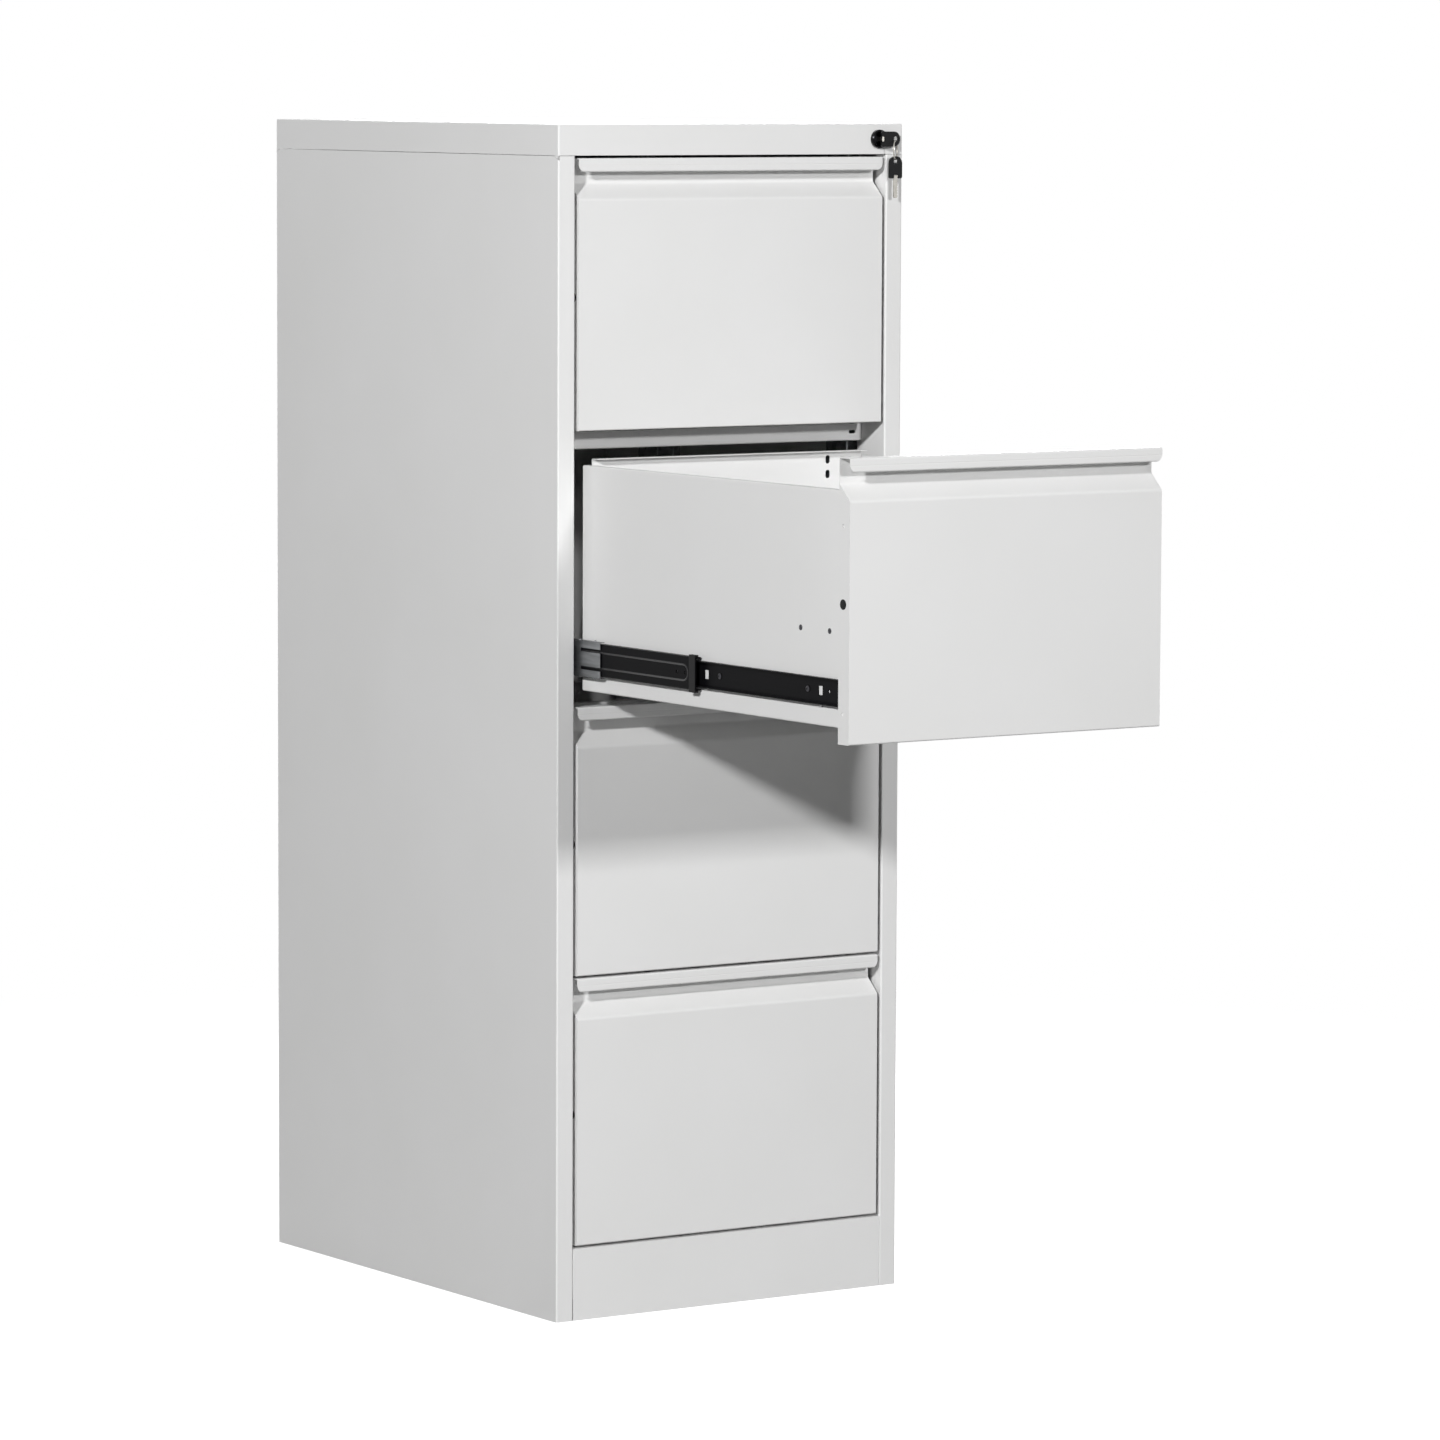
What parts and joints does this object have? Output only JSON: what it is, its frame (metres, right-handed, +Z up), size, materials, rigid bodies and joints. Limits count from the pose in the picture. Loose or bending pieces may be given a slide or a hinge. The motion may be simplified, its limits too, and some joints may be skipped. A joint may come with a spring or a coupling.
{
  "type": "filing cabinet",
  "caption": "Upright sheet-steel filing cabinet with stacked drawers on three-part ball slides, full-width recessed grips, and a key lock with a lifting bar.",
  "frame": {"origin": "centre of the cabinet's footprint, on the underside of the base pan", "axes": "+Z up, -Y out of the front, the way the drawers open, +X towards the side with the lock"},
  "size_m": [0.46, 1.147, 1.33],
  "materials": {
    "white_coat": "white powder-coated steel, fine satin texture",
    "black_slide": "black electro-coated steel, semi-gloss",
    "zinc": "zinc-plated steel",
    "black_zinc": "black zinc-plated steel screws and rivets",
    "lock_metal": "black-chromed zinc casting, glossy",
    "key_metal": "nickel-plated steel; the spare key's moulded head is black",
    "black_rubber": "black rubber",
    "black_plastic": "black moulded plastic"
  },
  "bodies": {
    "cabinet": {"left_side_panel": "white_coat", "right_side_panel": "white_coat", "top_panel": "white_coat", "back_panel": "white_coat", "base_pan": "white_coat", "plinth": "white_coat", "cross_rails": "white_coat", "slide_posts": "zinc", "lock_barrel": "lock_metal", "lock_bar_guides": "black_plastic", "drawer_1_slide_outer": "black_slide", "drawer_2_slide_outer": "black_slide", "drawer_3_slide_outer": "black_slide", "drawer_4_slide_outer": "black_slide"},
    "lock_core": {"lock_plug": "lock_metal", "lock_cam": "zinc", "key": "key_metal"},
    "key_head": {"key_head": "black_plastic"},
    "spare_key": {"spare_key_on_ring": "key_metal"},
    "lock_bar": {"lock_bar": "zinc"},
    "drawer_1": {"drawer_1_front": "white_coat", "drawer_1_front_liner": "white_coat", "drawer_1_tray": "white_coat", "drawer_1_back": "white_coat", "drawer_1_screws": "black_zinc", "drawer_1_bumpers": "black_rubber", "drawer_1_slide_inner": "black_slide"},
    "drawer_1_middle_members": {"drawer_1_slide_middle": "black_slide"},
    "drawer_1_outer_cages": {"drawer_1_cages_outer": "zinc"},
    "drawer_1_inner_cages": {"drawer_1_cages_inner": "zinc"},
    "drawer_2": {"drawer_2_front": "white_coat", "drawer_2_front_liner": "white_coat", "drawer_2_tray": "white_coat", "drawer_2_back": "white_coat", "drawer_2_screws": "black_zinc", "drawer_2_bumpers": "black_rubber", "drawer_2_slide_inner": "black_slide"},
    "drawer_2_middle_members": {"drawer_2_slide_middle": "black_slide"},
    "drawer_2_outer_cages": {"drawer_2_cages_outer": "zinc"},
    "drawer_2_inner_cages": {"drawer_2_cages_inner": "zinc"},
    "drawer_3": {"drawer_3_front": "white_coat", "drawer_3_front_liner": "white_coat", "drawer_3_tray": "white_coat", "drawer_3_back": "white_coat", "drawer_3_screws": "black_zinc", "drawer_3_bumpers": "black_rubber", "drawer_3_slide_inner": "black_slide"},
    "drawer_3_middle_members": {"drawer_3_slide_middle": "black_slide"},
    "drawer_3_outer_cages": {"drawer_3_cages_outer": "zinc"},
    "drawer_3_inner_cages": {"drawer_3_cages_inner": "zinc"},
    "drawer_4": {"drawer_4_front": "white_coat", "drawer_4_front_liner": "white_coat", "drawer_4_tray": "white_coat", "drawer_4_back": "white_coat", "drawer_4_screws": "black_zinc", "drawer_4_bumpers": "black_rubber", "drawer_4_slide_inner": "black_slide"},
    "drawer_4_middle_members": {"drawer_4_slide_middle": "black_slide"},
    "drawer_4_outer_cages": {"drawer_4_cages_outer": "zinc"},
    "drawer_4_inner_cages": {"drawer_4_cages_inner": "zinc"}
  },
  "joints": [
    {"name": "drawer_1_slide", "type": "slide", "parent": "cabinet", "child": "drawer_1", "axis": [0, -1, 0], "range_m": [0, 0.527]},
    {"name": "drawer_1_middle_members_slide", "type": "slide", "parent": "cabinet", "child": "drawer_1_middle_members", "axis": [0, -1, 0], "range_m": [0, 0.2635]},
    {"name": "drawer_1_outer_cages_slide", "type": "slide", "parent": "cabinet", "child": "drawer_1_outer_cages", "axis": [0, -1, 0], "range_m": [0, 0.13175]},
    {"name": "drawer_1_inner_cages_slide", "type": "slide", "parent": "cabinet", "child": "drawer_1_inner_cages", "axis": [0, -1, 0], "range_m": [0, 0.39525]},
    {"name": "drawer_2_slide", "type": "slide", "parent": "cabinet", "child": "drawer_2", "axis": [0, -1, 0], "range_m": [-0.527, 0]},
    {"name": "drawer_2_middle_members_slide", "type": "slide", "parent": "cabinet", "child": "drawer_2_middle_members", "axis": [0, -1, 0], "range_m": [-0.2635, 0]},
    {"name": "drawer_2_outer_cages_slide", "type": "slide", "parent": "cabinet", "child": "drawer_2_outer_cages", "axis": [0, -1, 0], "range_m": [-0.13175, 0]},
    {"name": "drawer_2_inner_cages_slide", "type": "slide", "parent": "cabinet", "child": "drawer_2_inner_cages", "axis": [0, -1, 0], "range_m": [-0.39525, 0]},
    {"name": "drawer_3_slide", "type": "slide", "parent": "cabinet", "child": "drawer_3", "axis": [0, -1, 0], "range_m": [0, 0.527]},
    {"name": "drawer_3_middle_members_slide", "type": "slide", "parent": "cabinet", "child": "drawer_3_middle_members", "axis": [0, -1, 0], "range_m": [0, 0.2635]},
    {"name": "drawer_3_outer_cages_slide", "type": "slide", "parent": "cabinet", "child": "drawer_3_outer_cages", "axis": [0, -1, 0], "range_m": [0, 0.13175]},
    {"name": "drawer_3_inner_cages_slide", "type": "slide", "parent": "cabinet", "child": "drawer_3_inner_cages", "axis": [0, -1, 0], "range_m": [0, 0.39525]},
    {"name": "drawer_4_slide", "type": "slide", "parent": "cabinet", "child": "drawer_4", "axis": [0, -1, 0], "range_m": [0, 0.527]},
    {"name": "drawer_4_middle_members_slide", "type": "slide", "parent": "cabinet", "child": "drawer_4_middle_members", "axis": [0, -1, 0], "range_m": [0, 0.2635]},
    {"name": "drawer_4_outer_cages_slide", "type": "slide", "parent": "cabinet", "child": "drawer_4_outer_cages", "axis": [0, -1, 0], "range_m": [0, 0.13175]},
    {"name": "drawer_4_inner_cages_slide", "type": "slide", "parent": "cabinet", "child": "drawer_4_inner_cages", "axis": [0, -1, 0], "range_m": [0, 0.39525]},
    {"name": "lock_turn", "type": "hinge", "parent": "cabinet", "child": "lock_core", "pos_m": [0.197, -0.31, 1.313], "axis": [0, -1, 0], "range_deg": [0, 90]},
    {"name": "lock_bar_lift", "type": "slide", "parent": "cabinet", "child": "lock_bar", "axis": [0, 0, 1], "range_m": [0, 0.01414]},
    {"name": "key_head_fold", "type": "hinge", "parent": "lock_core", "child": "key_head", "pos_m": [0.197, -0.3195, 1.313], "axis": [0, 0, 1], "range_deg": [-90, 0]},
    {"name": "spare_key_swing", "type": "hinge", "parent": "key_head", "child": "spare_key", "pos_m": [0.214, -0.3195, 1.313], "axis": [0, -1, 0], "range_deg": [-20, 20]}
  ],
  "couplings": [
    {"joint": "drawer_1_middle_members_slide", "follows": "drawer_1_slide", "ratio": 0.5},
    {"joint": "drawer_1_outer_cages_slide", "follows": "drawer_1_slide", "ratio": 0.25},
    {"joint": "drawer_1_inner_cages_slide", "follows": "drawer_1_slide", "ratio": 0.75},
    {"joint": "drawer_2_middle_members_slide", "follows": "drawer_2_slide", "ratio": 0.5},
    {"joint": "drawer_2_outer_cages_slide", "follows": "drawer_2_slide", "ratio": 0.25},
    {"joint": "drawer_2_inner_cages_slide", "follows": "drawer_2_slide", "ratio": 0.75},
    {"joint": "drawer_3_middle_members_slide", "follows": "drawer_3_slide", "ratio": 0.5},
    {"joint": "drawer_3_outer_cages_slide", "follows": "drawer_3_slide", "ratio": 0.25},
    {"joint": "drawer_3_inner_cages_slide", "follows": "drawer_3_slide", "ratio": 0.75},
    {"joint": "drawer_4_middle_members_slide", "follows": "drawer_4_slide", "ratio": 0.5},
    {"joint": "drawer_4_outer_cages_slide", "follows": "drawer_4_slide", "ratio": 0.25},
    {"joint": "drawer_4_inner_cages_slide", "follows": "drawer_4_slide", "ratio": 0.75},
    {"joint": "lock_turn", "follows": "lock_bar_lift", "rad_per_m": 111.07}
  ]
}
